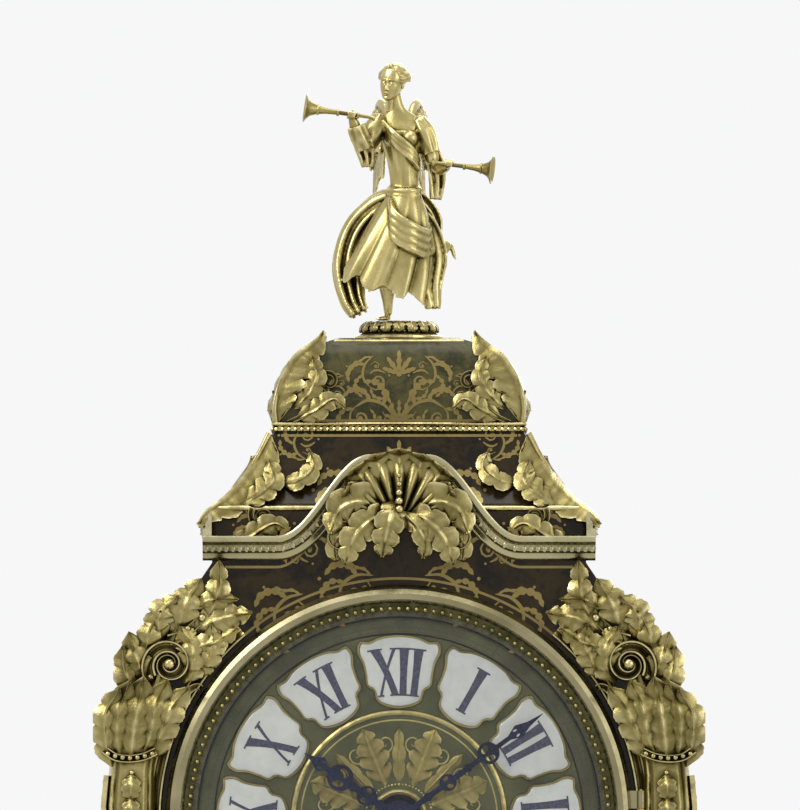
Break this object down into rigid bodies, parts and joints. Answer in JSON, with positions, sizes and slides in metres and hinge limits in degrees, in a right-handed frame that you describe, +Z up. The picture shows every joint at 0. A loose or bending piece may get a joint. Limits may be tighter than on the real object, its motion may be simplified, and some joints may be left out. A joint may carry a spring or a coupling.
{
  "type": "boulle clock",
  "caption": "Waisted tortoiseshell and brass table clock with gilt bronze mounts, enamel cartouche dial behind a hinged bezel, winged figure finial and pendulum movement.",
  "frame": {"origin": "centre of the footprint, on the surface that the feet stand on", "axes": "+X to the viewer's right, +Y away from the viewer, +Z up; the dial faces -Y"},
  "size_m": [0.3274, 0.171, 0.8033],
  "materials": {
    "veneer": "polished tortoiseshell and brass marquetry over wood",
    "wood": "stained oak",
    "gilt_bronze": "cast, chased and gilt",
    "glass": "clear",
    "enamel": "glossy white enamel",
    "brass": "polished",
    "blued_steel": "blued",
    "steel": "polished"
  },
  "bodies": {
    "case": {"case_front": "veneer", "case_carcass": "wood", "back_frame": "wood", "seat_board": "wood", "hood": "veneer", "cap": "veneer", "roof_mounts": "gilt_bronze", "cornice": "gilt_bronze", "crest_mount": "gilt_bronze", "figure_base": "gilt_bronze", "figure": "gilt_bronze", "trumpets": "gilt_bronze", "corner_mounts": "gilt_bronze", "lower_mounts": "gilt_bronze", "base_moulding": "gilt_bronze", "feet": "gilt_bronze", "apron_mount": "gilt_bronze", "window_frame": "gilt_bronze", "window_glass": "glass", "dial_plate": "brass", "enamel_plaques": "enamel", "front_plate": "brass", "back_plate": "brass", "pillars": "brass", "back_cock": "brass", "bell": "brass", "bezel_hinge": "brass", "back_hinges": "brass"},
    "bezel_door": {"bezel_ring": "gilt_bronze", "bezel_glass": "glass"},
    "back_door": {"back_door": "wood"},
    "back_latch": {"back_latch": "brass"},
    "minute": {"minute_hand": "blued_steel", "cannon_pinion": "brass", "centre_wheel": "brass"},
    "hour": {"hour_hand": "blued_steel", "hour_wheel": "brass"},
    "minute_wheel": {"minute_wheel": "brass"},
    "intermediate_wheel": {"intermediate_wheel": "brass"},
    "third_wheel": {"third_wheel": "brass"},
    "escape_wheel": {"escape_wheel": "brass"},
    "anchor": {"anchor": "steel"},
    "pendulum": {"pendulum_rod": "steel", "pendulum_bob": "brass"},
    "rating_nut": {"rating_nut": "brass"},
    "going_barrel": {"going_barrel": "brass", "going_mainspring": "steel"},
    "going_arbor": {"going_arbor": "steel"},
    "going_click": {"going_click": "steel"},
    "strike_barrel": {"strike_barrel": "brass", "strike_mainspring": "steel"},
    "strike_arbor": {"strike_arbor": "steel"},
    "strike_click": {"strike_click": "steel"},
    "strike_second_wheel": {"strike_second_wheel": "brass", "count_wheel": "brass"},
    "pin_wheel": {"pin_wheel": "brass"},
    "warning_wheel": {"warning_wheel": "brass"},
    "fly": {"fly": "brass"},
    "hammer": {"hammer": "steel"},
    "strike_levers": {"strike_levers": "steel"}
  },
  "joints": [
    {"name": "bezel_hinge", "type": "hinge", "parent": "case", "child": "bezel_door", "pos_m": [0.1305, -0.063, 0.39], "axis": [0, 0, 1], "range_deg": [0, 105]},
    {"name": "back_door_hinge", "type": "hinge", "parent": "case", "child": "back_door", "pos_m": [0.0746, 0.0773, 0.39], "axis": [0, 0, -1], "range_deg": [0, 120]},
    {"name": "back_latch_turn", "type": "hinge", "parent": "back_door", "child": "back_latch", "pos_m": [-0.052, 0.0695, 0.33], "axis": [0, 1, 0], "range_deg": [0, 90]},
    {"name": "minute_turn", "type": "hinge", "parent": "case", "child": "minute", "pos_m": [0, 0, 0.39], "axis": [0, 1, 0], "continuous": true},
    {"name": "hour_turn", "type": "hinge", "parent": "case", "child": "hour", "pos_m": [0, 0, 0.39], "axis": [0, 1, 0], "continuous": true},
    {"name": "minute_wheel_turn", "type": "hinge", "parent": "case", "child": "minute_wheel", "pos_m": [-0.01, 0, 0.40732], "axis": [0, 1, 0], "continuous": true},
    {"name": "intermediate_turn", "type": "hinge", "parent": "case", "child": "intermediate_wheel", "pos_m": [0.02459, 0, 0.38946], "axis": [0, 1, 0], "continuous": true},
    {"name": "third_turn", "type": "hinge", "parent": "case", "child": "third_wheel", "pos_m": [0.00778, 0, 0.41138], "axis": [0, 1, 0], "continuous": true},
    {"name": "escape_turn", "type": "hinge", "parent": "case", "child": "escape_wheel", "pos_m": [0, 0, 0.42899], "axis": [0, 1, 0], "continuous": true},
    {"name": "going_barrel_turn", "type": "hinge", "parent": "case", "child": "going_barrel", "pos_m": [0.033, 0, 0.356], "axis": [0, 1, 0], "continuous": true},
    {"name": "pendulum_swing", "type": "hinge", "parent": "case", "child": "pendulum", "pos_m": [0, 0, 0.44919], "axis": [0, 1, 0], "range_deg": [-3, 3]},
    {"name": "anchor_swing", "type": "hinge", "parent": "case", "child": "anchor", "pos_m": [0, 0, 0.44919], "axis": [0, 1, 0], "range_deg": [-3, 3]},
    {"name": "rating_nut_turn", "type": "hinge", "parent": "pendulum", "child": "rating_nut", "pos_m": [0, 0.0335, 0.16869], "axis": [0, 0, 1], "continuous": true},
    {"name": "going_winding", "type": "hinge", "parent": "case", "child": "going_arbor", "pos_m": [0.033, 0, 0.356], "axis": [0, 1, 0], "continuous": true},
    {"name": "going_click_lift", "type": "hinge", "parent": "case", "child": "going_click", "pos_m": [0.0208, 0, 0.3395], "axis": [0, 1, 0], "range_deg": [-14, 0], "stiffness_Nm_per_rad": 0.005},
    {"name": "strike_winding", "type": "hinge", "parent": "case", "child": "strike_arbor", "pos_m": [-0.033, 0, 0.356], "axis": [0, 1, 0], "continuous": true},
    {"name": "strike_click_lift", "type": "hinge", "parent": "case", "child": "strike_click", "pos_m": [-0.0452, 0, 0.3395], "axis": [0, 1, 0], "range_deg": [-14, 0], "stiffness_Nm_per_rad": 0.005},
    {"name": "pin_turn", "type": "hinge", "parent": "case", "child": "pin_wheel", "pos_m": [-0.03417, 0, 0.41401], "axis": [0, 1, 0], "continuous": true},
    {"name": "strike_second_turn", "type": "hinge", "parent": "case", "child": "strike_second_wheel", "pos_m": [-0.03, 0, 0.39037], "axis": [0, 1, 0], "continuous": true},
    {"name": "strike_barrel_turn", "type": "hinge", "parent": "case", "child": "strike_barrel", "pos_m": [-0.033, 0, 0.356], "axis": [0, 1, 0], "continuous": true},
    {"name": "warning_turn", "type": "hinge", "parent": "case", "child": "warning_wheel", "pos_m": [-0.02567, 0, 0.42873], "axis": [0, 1, 0], "continuous": true},
    {"name": "fly_turn", "type": "hinge", "parent": "case", "child": "fly", "pos_m": [-0.03105, 0, 0.44353], "axis": [0, 1, 0], "continuous": true},
    {"name": "hammer_swing", "type": "hinge", "parent": "case", "child": "hammer", "pos_m": [-0.054, 0, 0.452], "axis": [0, 1, 0], "range_deg": [-12, 2], "stiffness_Nm_per_rad": 0.05},
    {"name": "lever_lift", "type": "hinge", "parent": "case", "child": "strike_levers", "pos_m": [-0.054, 0, 0.398], "axis": [0, 1, 0], "range_deg": [-6, 4]}
  ],
  "couplings": [
    {"joint": "hour_turn", "follows": "minute_turn", "ratio": 0.083333},
    {"joint": "minute_wheel_turn", "follows": "minute_turn", "ratio": -0.33333},
    {"joint": "intermediate_turn", "follows": "minute_turn", "ratio": -0.13889},
    {"joint": "going_barrel_turn", "follows": "minute_turn", "ratio": 0.020833},
    {"joint": "third_turn", "follows": "minute_turn", "ratio": -12},
    {"joint": "escape_turn", "follows": "minute_turn", "ratio": 120},
    {"joint": "anchor_swing", "follows": "pendulum_swing", "ratio": 1},
    {"joint": "strike_second_turn", "follows": "pin_turn", "ratio": -0.11111},
    {"joint": "strike_barrel_turn", "follows": "pin_turn", "ratio": 0.016667},
    {"joint": "warning_turn", "follows": "pin_turn", "ratio": -7.5},
    {"joint": "fly_turn", "follows": "pin_turn", "ratio": 60}
  ]
}
